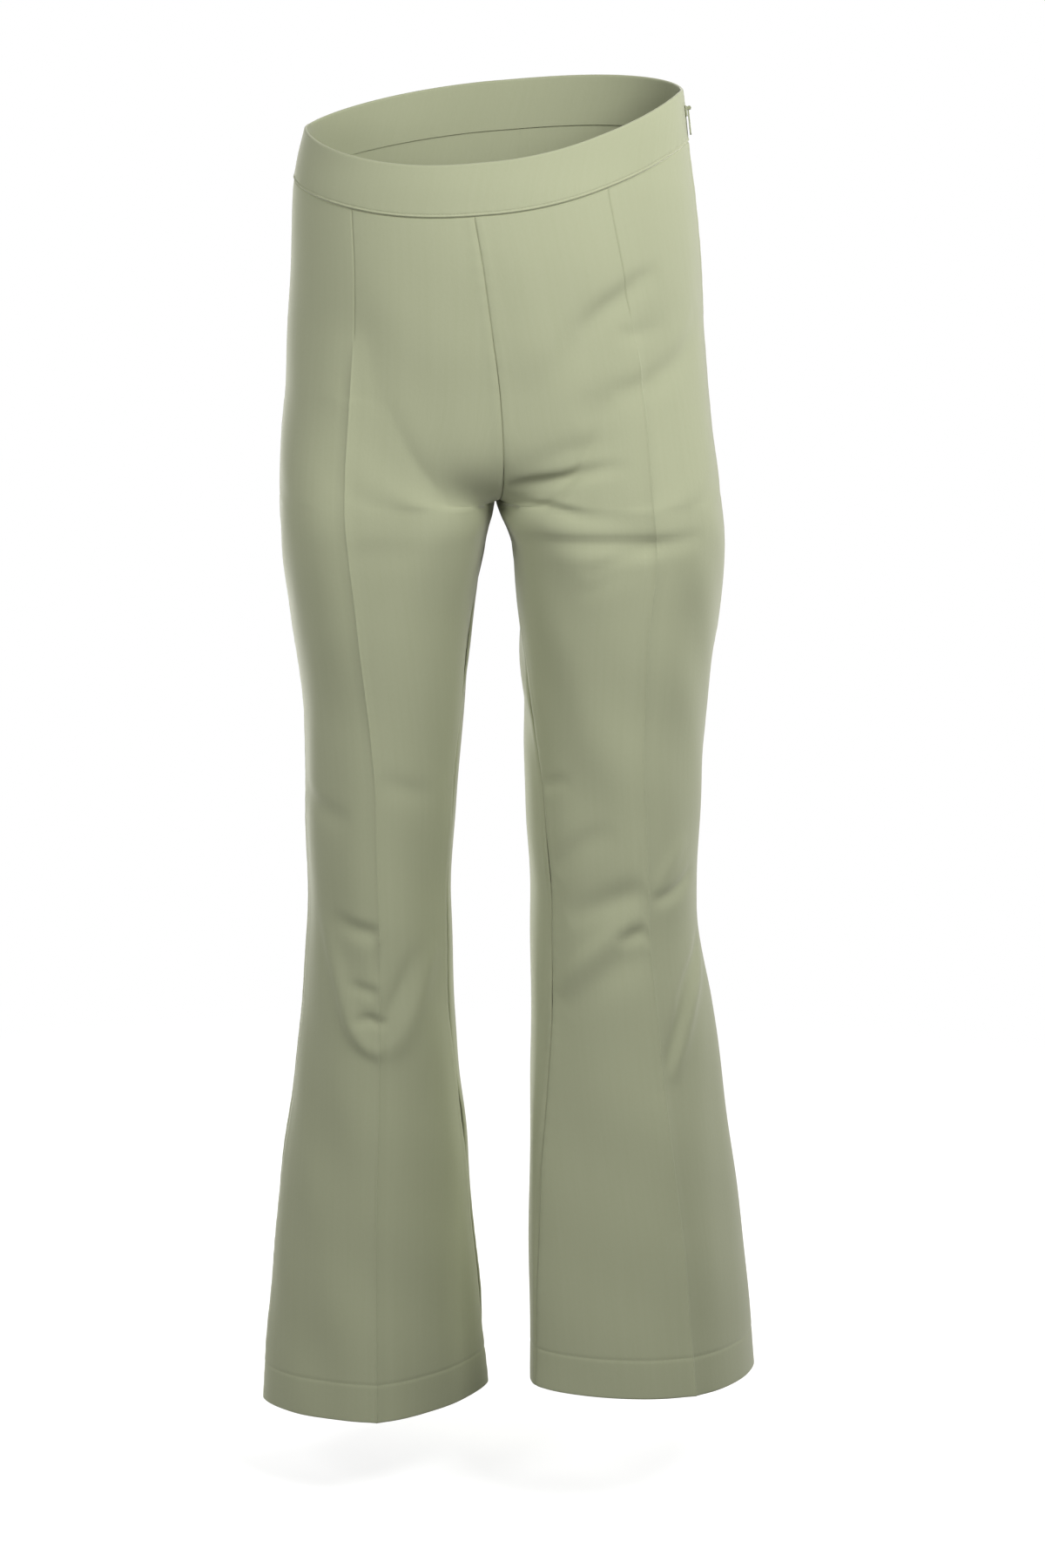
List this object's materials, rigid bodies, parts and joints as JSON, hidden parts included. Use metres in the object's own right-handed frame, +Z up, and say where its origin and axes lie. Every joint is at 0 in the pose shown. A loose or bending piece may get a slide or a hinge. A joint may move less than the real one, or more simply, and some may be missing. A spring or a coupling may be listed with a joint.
{
  "type": "flared trousers",
  "caption": "High-rise flared trousers with a contoured waistband, darts, pressed creases and a side zip, hollow and in their worn shape.",
  "frame": {"origin": "middle of the waistband, at the mid height of its sides, where the wearer's waist holds the garment", "axes": "+Z up the body, -Y to the front, +X to the wearer's left"},
  "size_m": [0.4161, 0.2555, 1.0991],
  "materials": {
    "sage_crepe": "matte stretch crepe with a fine weave",
    "zip_tape": "matte woven tape",
    "zip_enamel": "satin enamel in the cloth's colour"
  },
  "bodies": {
    "garment": {"front_leg_right": "sage_crepe", "front_leg_left": "sage_crepe", "back_leg_right": "sage_crepe", "back_leg_left": "sage_crepe", "waistband_front": "sage_crepe", "waistband_back": "sage_crepe", "zip_tape": "zip_tape", "zip_slider": "zip_enamel"},
    "pull_tab": {"zip_pull": "zip_enamel"}
  },
  "joints": [
    {"name": "pull_tab_swing", "type": "hinge", "parent": "garment", "child": "pull_tab", "pos_m": [0.15264, -0.01887, 0.01969], "axis": [-0.1265, -0.9914, 0.0339], "range_deg": [0, 160]}
  ]
}
